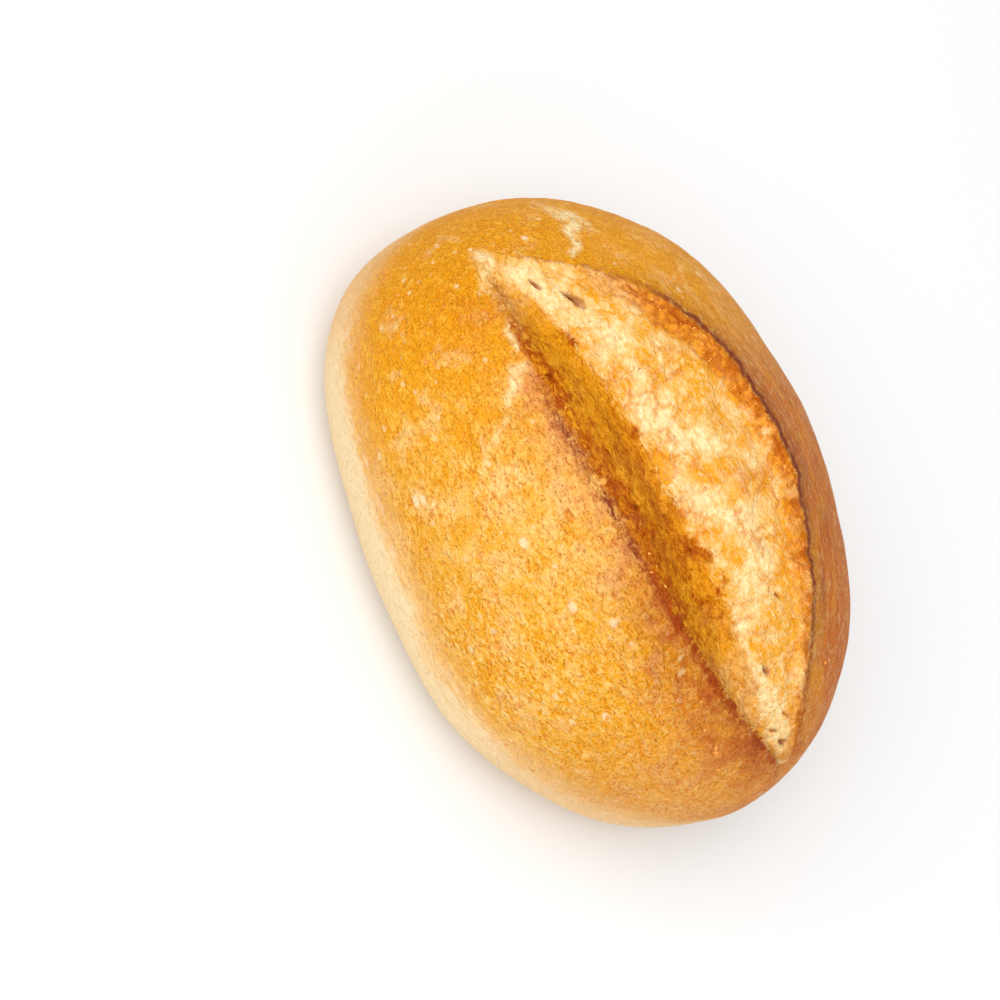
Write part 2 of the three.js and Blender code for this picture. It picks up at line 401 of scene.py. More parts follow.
def section_at(p):
    """Half widths, heights and spine of the section at p, from -1 to 1 along X."""
    plan = np.sqrt(np.maximum(0.0, 1 - p * p))
    crown = np.maximum(0.0, 1 - np.abs(p) ** CROWN_ROUNDNESS) ** (1 / CROWN_ROUNDNESS)
    keel = np.maximum(0.0, 1 - np.abs(p) ** KEEL_ROUNDNESS) ** (1 / KEEL_ROUNDNESS)
    return {
        "left": LEFT_WIDTH * plan * (1 + p * polynomial(LEFT_TAPER, p)),
        "right": RIGHT_WIDTH * plan * (1 + p * polynomial(RIGHT_TAPER, p)),
        "above": (HEIGHT - BELLY_HEIGHT) * crown,
        "below": (BELLY_HEIGHT + BASE_SINK) * keel,
        "spine": SPINE_BEND * p * p,
    }


def rest_on_base(z):
    """Flattens what lies below the base, with a soft edge."""
    soft = (z + BASE_EDGE) ** 2 / (4 * BASE_EDGE)
    return np.where(z < -BASE_EDGE, 0.0, np.where(z > BASE_EDGE, z, soft))


def plain_point(section, angle):
    """The plain form and its outward direction, at an angle from the top of the section."""
    side, rise = np.sin(angle), np.cos(angle)
    width = np.where(side < 0, section["left"], section["right"])
    roundness = np.where(rise < 0, BOTTOM_ROUNDNESS, ARCH_ROUNDNESS)
    reach = np.where(rise < 0, section["below"], section["above"])
    across = signed_power(side, 2 / roundness)
    up = signed_power(rise, 2 / roundness)
    out_y = signed_power(across, roundness - 1) * reach
    out_z = signed_power(up, roundness - 1) * width
    length = np.maximum(np.hypot(out_y, out_z), 1e-9)
    y = section["spine"] + width * across
    z = BELLY_HEIGHT + reach * up
    return y, z, out_y / length, out_z / length, width


def split_at(p):
    """Where the lip and the ear run across the section at p, and how far the split is open."""
    q = np.clip((p - SPLIT_CENTRE) / SPLIT_REACH, -1.0, 1.0)
    lens = SPLIT_WIDTH * (1 + q) ** SPLIT_BLUNT * (1 - q) ** SPLIT_TAPER
    half = np.hypot(lens, SPLIT_PINCH)
    middle = polynomial(SPLIT_LINE, p)
    opening = 1 - np.exp(-(1 + q) / BLUNT_END)
    closing = 1 - np.maximum(0.0, q) ** TAPER_FADE
    return {"q": q, "lip": middle - half, "ear": middle + half, "depth": opening * closing}


def angle_of(share):
    """The angle from the top at which the section is this share of its half width across."""
    return np.sign(share) * np.arcsin(np.minimum(1.0, np.abs(share)) ** (ARCH_ROUNDNESS / 2))


def valley_share(q):
    """Where the valley's bed starts: 0 at the lip and 1 at the ear."""
    near_taper = 1 - VALLEY_NARROWING * smoothstep(0.15, 0.95, q)
    near_blunt = VALLEY_BLUNT_SHARE + (1 - VALLEY_BLUNT_SHARE) * smoothstep(-1, -0.5, q)
    return VALLEY_PLACE * near_taper * near_blunt


def split_relief(form, t, q, depth):
    """Height above the plain form across the split: t is 0 at the lip and 1 at the ear."""
    valley = valley_share(q)
    roundness = WALL_ROLL - WALL_ROLL_EASING * smoothstep(-0.2, 0.45, q)
    fall = np.sin(math.pi / 2 * np.clip(t / valley, 0, 1) ** roundness)
    wall = depth * (form.lip_height - (form.lip_height + form.valley_depth) * fall)
    bed = VALLEY_BED * smoothstep(0.3, -0.3, q)
    climb = np.maximum(0.0, (t - valley) / (1 - valley) - bed) / (1 - bed)
    swell = 1 - np.maximum(0.0, 1 - climb) ** FLOOR_BULGE
    floor = -depth * (form.valley_depth - (form.valley_depth - form.floor_depth) * swell)
    return np.where(t < valley, wall, floor)


def zone_angles(split, valley):
    """Angles round every section, in zones whose borders follow the lip, the valley and the ear."""
    bottom = np.full_like(valley, math.pi)
    stops = [-bottom, angle_of(split["lip"]), angle_of(valley), angle_of(split["ear"]), bottom]
    rows = []
    for zone, steps in enumerate(ZONE_STEPS):
        part = np.arange(steps)[None, :] / steps
        rows.append(stops[zone] + (stops[zone + 1] - stops[zone]) * part)
    return np.concatenate(rows, axis=1)


def oval(x, y, place, length, width, turn):
    """Distance from the middle of an oval, 1 on its outline."""
    angle = math.radians(turn)
    dx, dy = x - place[0], y - place[1]
    along = (dx * math.cos(angle) + dy * math.sin(angle)) / (length / 2)
    across = (dy * math.cos(angle) - dx * math.sin(angle)) / (width / 2)
    return np.hypot(along, across)


def pore_field(x, y):
    """Depth in mm of the open pores, and the painted shade inside them."""
    depth = np.zeros_like(x)
    pore_shade = np.zeros_like(x)
    for place_x, place_y, length, width, deep, turn in PORES:
        hole = smoothstep(1.25, 0.35, oval(x, y, (place_x, place_y), length, width, turn))
        depth = np.maximum(depth, deep * hole)
        pore_shade = np.maximum(pore_shade, hole)
    return depth, pore_shade


def line_field(x, y, lines, taper):
    """Strength of soft lines, which narrow towards their ends by this share."""
    total = np.zeros_like(x)
    for start, end, width, strength in lines:
        start, end = np.array(start), np.array(end)
        line = end - start
        t = ((x - start[0]) * line[0] + (y - start[1]) * line[1]) / (line @ line)
        t = np.clip(t, 0, 1)
        away = np.hypot(x - start[0] - t * line[0], y - start[1] - t * line[1])
        inside = smoothstep(1.0, 0.1, away / (width * (1 - taper * t)))
        total = np.maximum(total, strength * inside)
    return total


def tone_fields(x, y):
    """The pale stretch marks, and the crumb's tone from -1, cream, to 1, golden."""
    x = x + MARK_WARP * unevenness(x, y, 0, MARK_WARP_LENGTH, 11)
    y = y + MARK_WARP * unevenness(x, y, 0, MARK_WARP_LENGTH, 14)
    mark = line_field(x, y, STRETCH_MARKS, 0.55)
    cream = line_field(x, y, CREAM_LINES, 0.0)
    pool = np.zeros_like(x)
    for place_x, place_y, length, width, turn in GOLD_POOLS:
        reach = oval(x, y, (place_x, place_y), length, width, turn)
        pool = np.maximum(pool, smoothstep(1.3, 0.5, reach))
    return mark, np.where(pool > 0.1, pool, -cream)


def blister_field(x, y, z):
    """Blisters are thickest near the blunt end of the left lobe and at the lower taper."""
    blunt = bell(x + 34, 16) * bell(y + 20, 16)
    taper = bell(x - 30, 18) * bell(y + 24, 12)
    return (0.12 + blunt + 0.8 * taper) * smoothstep(14, 24, z)


def flake_field(t, beyond_ear, before_lip, q, ease):
    """Flakes cling just inside the ear, and to the lip's crest in the upper half."""
    ear = bell(beyond_ear + 2.0, 1.2) * (t > 0.5) * 0.6
    lip = bell(before_lip + 0.5, 0.6) * (t < 0.5) * smoothstep(0.5, -0.1, q) * 0.25
    return (ear + lip) * ease


def roll_surface(form):
    """Points of every section from +X to -X, and the fields that the materials read."""
    run = np.linspace(0, math.pi, STATIONS + 1)[1:-1, None]
    p = np.cos(run)
    x = LENGTH / 2 * p
    section = section_at(p)
    split = split_at(p)
    ease = split["depth"]
    jag = FINE_JAG * unevenness(x, 0, 0, FINE_JAG_LENGTH, 3) * ease
    split["ear"] = split["ear"] + jag / section["right"]
    split["lip"] = split["lip"] + LIP_JAG_SHARE * np.roll(jag, LIP_JAG_SHIFT, axis=0) / section["left"]
    valley = split["lip"] + (split["ear"] - split["lip"]) * valley_share(split["q"])
    angle = zone_angles(split, valley)
    x = np.broadcast_to(x, angle.shape)
    y, z, out_y, out_z, width = plain_point(section, angle)

    share = signed_power(np.sin(angle), 2 / ARCH_ROUNDNESS)
    t = (share - split["lip"]) / (split["ear"] - split["lip"])
    under = FAR * smoothstep(0.1, -0.3, np.cos(angle))
    beyond_ear = (share - split["ear"]) * width + under * (angle > 0)
    before_lip = (split["lip"] - share) * width + under * (angle < 0)
    on_top = smoothstep(-0.1, 0.35, np.cos(angle))
    inside = (t > 0) & (t < 1) & (on_top > 0)
    right_half = t > 0.5

    ear_notch = EAR_CRAG * unevenness(x, 0, 0, EAR_CRAG_LENGTH, 4)
    lip_notch = LIP_CRAG * unevenness(x, 0, 0, LIP_CRAG_LENGTH, 9)
    inner = bell(np.maximum(0, -beyond_ear), EAR_INNER_WIDTH)
    outer = bell(np.maximum(0, beyond_ear), EAR_WIDTH)
    ear = np.where(inside, inner, outer) * ease * on_top * right_half
    lip = bell(np.maximum(0, before_lip), LIP_WIDTH) * ease * on_top * (t <= 0)

    relief = CRUST_WAVE * unevenness(x, y, z, CRUST_WAVE_LENGTH, 2)
    coarse = unevenness(x, y * CRUMB_STRETCH, 0, CRUMB_LUMP_LENGTH, 6)
    fine = unevenness(x, y * CRUMB_STRETCH, 0, CRUMB_LUMP_LENGTH / 2, 1)
    torn = ease * smoothstep(0, 0.2, t) * smoothstep(1, 0.85, t) * inside
    relief = relief + np.where(inside, split_relief(form, t, split["q"], ease), 0)
    relief = relief + form.crumb_lump * torn * (coarse + fine / 2)
    relief = relief + ear * (form.ear_height + ear_notch + np.where(inside, form.floor_depth, 0))
    relief = relief + lip * (form.lip_height + lip_notch)

    left_flank = y < section["spine"]
    along_crease = bell(x - CREASE_MIDDLE, CREASE_REACH)
    crease = bell(z - CREASE_HEIGHT, CREASE_WIDTH)
    relief = relief - CREASE_DEPTH * along_crease * crease * left_flank

    on_crown = on_top > 0
    centred = y - (y.min() + y.max()) / 2
    pore, pore_shade = pore_field(x, centred)
    mark, tone = tone_fields(x, centred)
    mark = mark * on_crown
    relief = relief - pore * on_crown - MARK_DEPTH * mark

    near_pole = smoothstep(1, 0.97, np.abs(p))
    y = y + (out_y * relief - form.ear_lean * ear) * near_pole
    z = rest_on_base(z + out_z * relief * near_pole)
    fields = {
        "from_lip": np.clip(-before_lip, -FAR, FAR),
        "from_ear": np.clip(beyond_ear, -FAR, FAR),
        "share": np.clip(t, 0, 1),
        "along": np.broadcast_to(split["q"], angle.shape),
        "ease": np.broadcast_to(ease, angle.shape),
        "torn": inside * smoothstep(0.0, 0.25, ease * np.ones_like(t)),
        "crown": on_top,
        "blistered": blister_field(x, centred, z) * (1 - inside) * on_crown,
        "flaked": flake_field(t, beyond_ear, before_lip, split["q"], ease) * on_crown,
        "pore": pore_shade * on_crown,
        "mark": mark,
        "tone": tone,
        "base": smoothstep(2.0, 0.3, z),
    }
    return np.stack([x, y, z], axis=-1), fields


def closed_mesh(name, rings, fields):
    """Joins rings of points and a tip at each end into one closed mesh with its fields."""
    count, around = rings.shape[:2]
    tips = np.array([[end * LENGTH / 2, SPINE_BEND, BELLY_HEIGHT] for end in (1, -1)])
    points = np.concatenate([rings.reshape(-1, 3), tips])
    low, high = points.min(0), points.max(0)
    middle = (low + high) / 2
    home = (np.array(CAD_LOW) + np.array(CAD_HIGH)) / 2 / MM
    points = points - [middle[0] - home[0], middle[1] - home[1], low[2]]

    index = np.arange(count * around).reshape(count, around)
    here, after = index[:-1], index[1:]
    turned = np.roll(index, -1, axis=1)
    quads = np.stack([here, after, turned[1:], turned[:-1]], axis=-1).reshape(-1, 4)
    first, last = count * around, count * around + 1
    faces = quads.tolist()
    faces += [[first, a, b] for a, b in zip(index[0], turned[0])]
    faces += [[last, b, a] for a, b in zip(index[-1], turned[-1])]

    mesh = bpy.data.meshes.new(name)
    mesh.from_pydata((points * MM).tolist(), [], faces)
    for field, values in fields.items():
        flat = np.concatenate([values.reshape(-1), values[0, :1], values[-1, :1]])
        layer = mesh.attributes.new(field, "FLOAT", "POINT")
        layer.data.foreach_set("value", flat.astype(np.float32))
    mesh.shade_smooth()
    mesh.update()
    return mesh


# --- Geometry Nodes ------------------------------------------------------------------------------

BUBBLE_STRETCH = (1.0, 0.62, 1.0)
SMALL_BUBBLE = 0.38  # share of a large bubble's size
THREAD_STRETCH = (0.22, 1.0, 1.0)


def geometry_tree(name, values):
    """A new tree with an input for the geometry and for each value. Returns it with their sockets."""
    tree = bpy.data.node_groups.new(name, "GeometryNodeTree")
    face = tree.interface
    face.new_socket("Geometry", in_out="INPUT", socket_type="NodeSocketGeometry")
    face.new_socket("Geometry", in_out="OUTPUT", socket_type="NodeSocketGeometry")
    kinds = {float: "NodeSocketFloat", int: "NodeSocketInt", str: "NodeSocketString"}
    for label, value in values.items():
        kind = kinds.get(type(value), "NodeSocketMaterial")
        face.new_socket(label, in_out="INPUT", socket_type=kind)
    net = Net(tree)
    entry = tree.nodes.new("NodeGroupInput")
    sockets = {s.name: Socket(net, s) for s in entry.outputs if s.name}
    return tree, net, sockets


def end_tree(net, geometry, material):
    """Realizes what the tree made, gives it the material, and puts it out."""
    real = net.node("GeometryNodeRealizeInstances", inputs={"Geometry": geometry})
    inputs = {"Geometry": real, "Material": material}
    finished = net.node("GeometryNodeSetMaterial", inputs=inputs)
    net.node("NodeGroupOutput", inputs={0: finished})


def apply_tree(piece, make_tree, values):
    """Makes a tree for the values, runs it on the piece, and keeps the result as a plain mesh."""
    tree = make_tree(values)
    modifier = piece.modifiers.new(tree.name, "NODES")
    modifier.node_group = tree
    for item in tree.interface.items_tree:
        if item.in_out == "INPUT" and item.name in values:
            modifier[item.identifier] = values[item.name]
    piece.update_tag()
    graph = bpy.context.evaluated_depsgraph_get()
    graph.update()
    plain = bpy.data.meshes.new_from_object(piece.evaluated_get(graph))
    piece.modifiers.clear()
    piece.data = plain
    if not len(plain.polygons):
        raise RuntimeError(f"{tree.name} made no faces")


def named(net, name):
    """A float attribute of the surface, in a geometry tree."""
    settings = {"data_type": "FLOAT"}
    return net.node("GeometryNodeInputNamedAttribute", settings, {"Name": name})


def moved_coordinates(net, seed, stretch=(1.0, 1.0, 1.0)):
    """The surface's own coordinates in mm, stretched, and shifted by the seed."""
    place = net.node("GeometryNodeInputPosition")
    in_mm = net.vectors("MULTIPLY", place, [s / MM for s in stretch])
    shift = net.node("ShaderNodeCombineXYZ", inputs={0: seed, 1: seed * 3.1})
    return net.vectors("ADD", in_mm, shift)


def scaled(net, vector, factor):
    """The vector, made longer or shorter."""
    return net.node("ShaderNodeVectorMath", {"operation": "SCALE"}, {0: vector, "Scale": factor})


def warped(net, place, scale, reach):
    """Coordinates bent by a noise, so that cells in them have curved sides."""
    inputs = {"Vector": place, "Scale": scale, "Detail": 2.0}
    bend = net.node("ShaderNodeTexNoise", inputs=inputs, output=1)
    return net.vectors("ADD", place, scaled(net, bend, reach))


def cells(net, place, size, smoothness):
    """Domes of this size in mm, and the thin walls between them: 1 on a wall."""
    inputs = {"Vector": place, "Scale": 1.0 / size, "Smoothness": smoothness}
    middle = net.node("ShaderNodeTexVoronoi", {"feature": "SMOOTH_F1"}, inputs)
    inputs = {"Vector": place, "Scale": 1.0 / size}
    gap = net.node("ShaderNodeTexVoronoi", {"feature": "DISTANCE_TO_EDGE"}, inputs)
    return 0.5 - middle, net.rise(gap * size, 0.36, 0.04)


def stored(net, geometry, name, value):
    """The geometry with the value kept at its points, for the material to read."""
    settings = {"data_type": "FLOAT", "domain": "POINT"}
    inputs = {"Geometry": geometry, "Name": name, "Value": value}
    return net.node("GeometryNodeStoreNamedAttribute", settings, inputs)


def relief_tree(values):
    """Burst bubbles on the torn crumb, crags at its edges, and fine wrinkles on the crust."""
    tree, net, given = geometry_tree("Crust and crumb relief", values)
    torn, ease, share = named(net, "torn"), named(net, "ease"), named(net, "share")
    seed = given["Seed"]

    place = warped(net, moved_coordinates(net, seed, BUBBLE_STRETCH), 0.35, 4.0)
    dome, wall = cells(net, place, given["Bubble Size"], 0.15)
    small_dome, web = cells(net, place, given["Bubble Size"] * SMALL_BUBBLE, 0.1)
    grit = noise(net, place, 1.1, 3.0, 0.6)
    turn = {"Vector": moved_coordinates(net, seed), "Angle": -math.radians(STRETCH_TURN)}
    turned = net.node("ShaderNodeVectorRotate", {"rotation_type": "Z_AXIS"}, turn)
    drawn = net.vectors("MULTIPLY", turned, THREAD_STRETCH)
    threads = noise(net, drawn, 0.8, 2.0, 0.6) * near_ends(net, named(net, "along")) * 1.6
    floor = torn * net.rise(share, 0.28, 0.45)
    crumb = floor * given["Bubble Height"] * (dome + small_dome * 0.4 + grit * 0.7 + threads)

    ear_edge = net.bell(named(net, "from_ear") + 2.0, 1.8) * ease
    lip_edge = net.bell(named(net, "from_lip") - 0.5, 1.0) * ease
    valley = torn * net.rise(share, 0.45, 0.25)
    crag_place = moved_coordinates(net, seed + 5.0)
    crag = noise(net, crag_place, 0.7, 4.0, 0.7) * 1.6
    bumpy = (crag + small_dome * 0.5) * (ear_edge * 0.8 + valley * 0.9)
    flaky = noise(net, crag_place, 1.5, 3.0, 0.7) * lip_edge * 0.9
    crags = given["Crag Height"] * (bumpy + flaky)

    broad = noise(net, crag_place, 0.13, 2.0, 0.5)
    wrinkle = noise(net, crag_place, 1.0 / given["Wrinkle Size"], 3.0, 0.6)
    crust = (1.0 - torn) * named(net, "crown")
    skin = crust * (wrinkle * given["Wrinkle Height"] * 2.0 + broad * 0.5)

    rough = crumb + crags
    kept = stored(net, given["Geometry"], "swell", rough)
    kept = stored(net, kept, "wall", wall * net.rise(broad, -0.06, 0.06))
    kept = stored(net, kept, "web", web)
    normal = net.node("GeometryNodeInputNormal")
    inputs = {"Geometry": kept, "Offset": scaled(net, normal, (rough + skin) * MM)}
    end_tree(net, net.node("GeometryNodeSetPosition", inputs=inputs), given["Material"])
    return tree


def random_value(net, low, high, seed):
    """A number between the two for every point."""
    inputs = {2: low, 3: high, "Seed": seed}
    return net.node("FunctionNodeRandomValue", {"data_type": "FLOAT"}, inputs, output=1)


def scatter_tree(values):
    """Small uneven lumps on a surface, thickest where an attribute is high."""
    tree, net, given = geometry_tree("Scattered lumps", values)
    seed = given["Seed"]
    density = named(net, given["Field"]) * given["Density"]
    inputs = {"Mesh": given["Geometry"], "Density": density, "Seed": seed}
    points = net.node("GeometryNodeDistributePointsOnFaces", inputs=inputs)
    facing = points.output("Rotation")
    for turn, axis in ((math.pi, (0, 0, 1)), (given["Tilt"], (1, 0, 0))):
        angle = random_value(net, turn * -1.0, turn, seed + 3.0)
        swivel = net.node("FunctionNodeAxisAngleToRotation", inputs={"Axis": axis, "Angle": angle})
        local = {"rotation_space": "LOCAL"}
        facing = net.node("FunctionNodeRotateRotation", local, {0: facing, 1: swivel})
    span = random_value(net, 0.3, 1.0, seed + 1.0)
    radius = span * span * given["Radius"]
    breadth = radius * random_value(net, 0.4, 1.0, seed + 2.0)
    inputs = {0: radius, 1: breadth, 2: radius * given["Flatness"]}
    shape = net.node("ShaderNodeCombineXYZ", inputs=inputs)
    lump = net.node("GeometryNodeMeshIcoSphere", inputs={"Radius": MM, "Subdivisions": 2})
    inputs = {"Points": points, "Instance": lump, "Rotation": facing, "Scale": shape}
    copies = net.node("GeometryNodeInstanceOnPoints", inputs=inputs)
    real = net.node("GeometryNodeRealizeInstances", inputs={"Geometry": copies})
    inputs = {"Vector": moved_coordinates(net, seed + 4.0), "Scale": 1.6, "Detail": 1.0}
    dents = net.node("ShaderNodeTexNoise", inputs=inputs, output=1)
    centred = net.vectors("SUBTRACT", dents, (0.5, 0.5, 0.5))
    push = scaled(net, centred, given["Roughness"] * MM)
    rough = net.node("GeometryNodeSetPosition", inputs={"Geometry": real, "Offset": push})
    end_tree(net, rough, given["Material"])
    return tree


# --- Materials -----------------------------------------------------------------------------------

BREAD_BUMP = 0.6 * MM  # height of the bread's finest grain
SMALL_BUMP = 0.1 * MM  # and of the grain on small pieces

# Noises over the bread: width of the grains in mm, stretch along X, and how each differs.
NOISES = {
    "blotch": dict(width=7.0, stretch=1.0, detail=1.0),
    "patch": dict(width=3.1, stretch=1.0, shift=44.0, detail=2.0, roughness=0.6),
    "cloud": dict(width=2.3, stretch=0.9, shift=31.0, roughness=0.6),
    "curls": dict(width=1.1, stretch=0.7, shift=23.0, detail=1.0, curl=1.2),
    "drawn": dict(width=0.7, stretch=0.2, shift=17.0, detail=1.0),
    "peel": dict(width=0.42, stretch=0.6, shift=5.0, detail=2.0, curl=0.9),
    "stretch": dict(width=0.4, stretch=0.18, turn=math.radians(-STRETCH_TURN), shift=3.0),
    "grit": dict(width=0.16, stretch=0.7, shift=9.0, detail=1.0),
}

# The surface's own fields that the bread's colour reads.
SHADED_FIELDS = (
    "from_lip", "from_ear", "share", "along", "ease", "torn",
    "swell", "wall", "web", "pore", "mark", "tone", "base",
)

# Pale specks in an even scatter: their spacing in mm, reach, share shown, and shift.
SMALL_SPECKS = (1.7, 0.24, 0.3, 3.0)
LARGE_SPECKS = (4.6, 0.15, 0.5, 8.0)

# Soft patches of colour on the crust: middle along X and across Y, and reach both ways, in mm.
# The crown patch is partly paler crust and partly a painted soft highlight.
PALE_AND_HIGHLIGHT_CROWN = (-10.0, -24.0, 20.0, 11.0)
START_PATCH = (-39.0, -17.0, 7.0, 6.0)

# Places along X, in mm, from which and to which one colour of the crust gives way to the next.
BLUNT_RUN = (-6.0, -36.0)
TAPER_RUN = (18.0, 52.0)
RUSSET_RUN = (-36.0, 0.0)
BAND_START_RUN = (-52.0, -38.0)
BAND_END_RUN = (42.0, 12.0)

# Heights in mm over which the crust turns into the paler bands of the flank.
CREAM_BAND = (19.0, 13.5)
LOW_BAND = (25.0, 11.0)
LOW_BAND_APRICOT = 0.3


def new_material(name):
    """A material with one Principled shader. Returns it, its net and the shader."""
    material = bpy.data.materials.new(name)
    material.use_nodes = True
    net = Net(material.node_tree)
    shader = material.node_tree.nodes.new("ShaderNodeBsdfPrincipled")
    out = material.node_tree.nodes.new("ShaderNodeOutputMaterial")
    material.node_tree.links.new(shader.outputs[0], out.inputs["Surface"])
    return material, net, shader


def feed(net, shader, values):
    """Links or sets the shader's own sockets."""
    for name, value in values.items():
        if isinstance(value, Socket):
            net.tree.links.new(value.link, shader.inputs[name])
        else:
            shader.inputs[name].default_value = value


def coordinates(net, stretch=(1, 1, 1), turn=0.0, shift=0.0):
    """Object coordinates in mm, turned about Z, stretched and shifted."""
    place = net.node("ShaderNodeTexCoord", output=3)
    inputs = {
        "Vector": place,
        "Location": (shift, shift * 1.7, shift * 0.6),
        "Rotation": (0, 0, turn),
        "Scale": tuple(s / MM for s in stretch),
    }
    return net.node("ShaderNodeMapping", inputs=inputs)


def fibre(net, width, stretch=0.55, turn=0.0, shift=0.0, detail=3.0, roughness=0.65, curl=0.0):
    """Noise about 0 whose grains have this width in mm and are drawn out along X, or as turned."""
    place = coordinates(net, (stretch, 1.0, 1.0), turn, shift)
    return noise(net, place, 0.5 / width, detail, roughness, curl)


def specks(net, spacing, reach, share_shown, shift):
    """Small pale spots of uneven size in some of the cells of an even scatter."""
    place = coordinates(net, (0.75, 1.0, 1.0), shift=shift)
    dots = net.node("ShaderNodeTexVoronoi", inputs={"Vector": place, "Scale": 1.0 / spacing})
    lottery = net.node("ShaderNodeSeparateColor", inputs={0: dots.output("Color")})
    reached = reach * (0.45 + lottery)
    shown = net.maths("GREATER_THAN", lottery.output(1), 1.0 - share_shown)
    return net.rise(dots / reached, 1.0, 0.45) * shown


def soft_patch(net, at, patch):
    """1 in the middle of a patch, falling away over its reach."""
    x, y, along, across = patch
    return net.bell(at["x"] - x, along) * net.bell(at["y"] - y, across)


def mixed(first, second, share):
    """A fixed colour this far from the first to the second."""
    return tuple(a + (b - a) * share for a, b in zip(first, second))


def tinted(net, skin, amount, strength, pale, deep):
    """Moves a colour towards the pale one where the amount is above 0, and to the deep one below."""
    shift = amount * strength
    return net.blend(shift * -1.0, net.blend(shift, skin, pale), deep)


def crust_ground(net, finish, at, blunt, right):
    """Honey at the blunt end, paler on the left crown where the pale patch is partly a painted soft
    highlight, apricot at the taper, russet on the right.
    """
    cloud = at["cloud"]
    crust = net.blend(blunt, finish.gold, finish.honey)
    # Partly painted highlight: the pale patch on the left lobe's crown.
    crown = soft_patch(net, at, PALE_AND_HIGHLIGHT_CROWN)
    crust = net.blend(crown * (0.75 + cloud * 3.0), crust, finish.blush)
    start = soft_patch(net, at, START_PATCH)
    crust = net.blend(start * (0.6 + cloud * 3.0), crust, finish.amber_crust)
    taper = net.rise(at["x"] + at["blotch"] * 30.0, *TAPER_RUN)
    crust = net.blend(taper * 0.8, crust, finish.apricot)
    crust = net.blend(right * (0.8 + cloud), crust, finish.russet)
    behind = net.bell(at["x"] + 30.0, 22.0) * net.rise(at["from_ear"], -2.0, 7.0)
    return net.blend(behind * (0.45 + cloud * 2.0), crust, finish.apricot)


def crust_colour(net, finish, at):
    """The crust's ground colours under their fine mottling, streaks and pale spots."""
    cloud, blotch = at["cloud"], at["blotch"]
    blunt = net.rise(at["x"] + cloud * 30.0, *BLUNT_RUN)
    closed = 1.0 - at["ease"]
    beyond = at["from_ear"] + blotch * closed * 20.0
    right = net.rise(beyond, closed * -6.0, 2.0 + closed * 9.0)
    right = right * net.rise(at["x"] + cloud * 16.0, *RUSSET_RUN)
    crust = crust_ground(net, finish, at, blunt, right)

    pale = net.blend(0.5 + blunt * 0.4, finish.cream_side, finish.straw)
    patchy = net.blend(right, finish.cream_side, finish.toast)
    deep = net.blend(blunt * 0.7, finish.amber_crust, finish.honey)
    grainy = net.rise(cloud + blotch, -0.16, 0.1)
    fewer = blunt * 0.06
    mottling = 1.7 + blunt * 1.3 - right * 0.5
    crust = tinted(net, crust, cloud - fewer, mottling, patchy, finish.honey)
    crust = tinted(net, crust, at["curls"] - fewer, 1.7 + blunt - right, pale, finish.honey)
    peeling = 2.4 + grainy * 1.6 - right * 1.6
    crust = tinted(net, crust, at["peel"] - fewer * 0.7, peeling, pale, deep)
    crust = tinted(net, crust, at["grit"], 1.5 - right * 0.9, pale, finish.russet)

    beside_ear = net.bell(at["from_ear"] - 4.0, 7.0) * right * at["ease"]
    crust = tinted(net, crust, at["streak"] * beside_ear, 3.2, finish.toast, finish.plum)
    spots = net.either(specks(net, *SMALL_SPECKS) * 0.5, specks(net, *LARGE_SPECKS) * 0.8)
    return net.blend(spots * (1.0 - right * 0.8), crust, finish.cream_side)


def browned_colour(net, finish, at, crust):
    """The browning along the lip: plum on its crest in the upper half, redder towards the taper."""
    from_lip, along, peel, cloud = at["from_lip"], at["along"], at["peel"], at["cloud"]
    low = net.rise(along, -0.15, 0.3)
    reach = 5.6 + low * 1.4
    reached = net.rise(along, -0.95, -0.55) * net.rise(along, 1.05, 0.85)
    rosy = net.blend(low * 0.8, finish.rose, finish.brown)
    spark = net.blend(low * 0.8, finish.blush, finish.amber_crust)
    rosy = tinted(net, rosy, peel + at["curls"] * 0.6, 2.4, spark, finish.brown)
    rosy = tinted(net, rosy, at["grit"], 1.6, spark, finish.plum)
    near_taper = net.bell(from_lip, 15.0) * net.rise(along, 0.25, 0.8)
    crust = net.blend(near_taper * (0.5 + cloud * 2.0), crust, finish.amber_crust)
    wide = net.bell(from_lip, reach) * reached
    crust = net.blend(wide * (0.55 + low * 0.25 + cloud * 2.4), crust, rosy)
    line = net.bell(from_lip + 0.7, 1.3 - low * 0.4) * reached * net.rise(along, -0.7, -0.4)
    darkest = net.blend(low * 0.8, finish.plum, finish.brown)
    return net.blend(line * (0.5 + low * 0.3 + cloud * 3.0 - peel * 2.6), crust, darkest)


def flank_colour(net, finish, at, crust):
    """The paler band low on the flanks, widest and palest on the left, and the brown base. The low band
    is partly less baked crust and partly painted light from the bright floor, growing lighter towards the
    taper.
    """
    edge = at["z"] + at["blotch"] * 6.0 + at["cloud"] * 5.0 + at["drawn"] * 5.0 + at["peel"] * 7.0
    left = net.rise(edge, *CREAM_BAND) * net.rise(at["y"], 8.0, -14.0)
    left = left * net.rise(at["x"], *BAND_START_RUN) * net.rise(at["x"], *BAND_END_RUN)
    # Partly painted light: the low band grows lighter towards the taper, standing in for light thrown up
    # from the floor onto the bottom edge.
    low = net.rise(edge, *LOW_BAND) * (0.7 + net.rise(at["x"], 10.0, 40.0) * 0.25)
    pale_band_and_bounce_light = mixed(finish.cream_side, finish.apricot, LOW_BAND_APRICOT)
    crust = net.blend(low, crust, pale_band_and_bounce_light)
    crust = net.blend(left * 0.95, crust, finish.cream_side)
    return net.blend(at["base"] * (0.7 + at["cloud"] * 2.0), crust, finish.amber_crust)


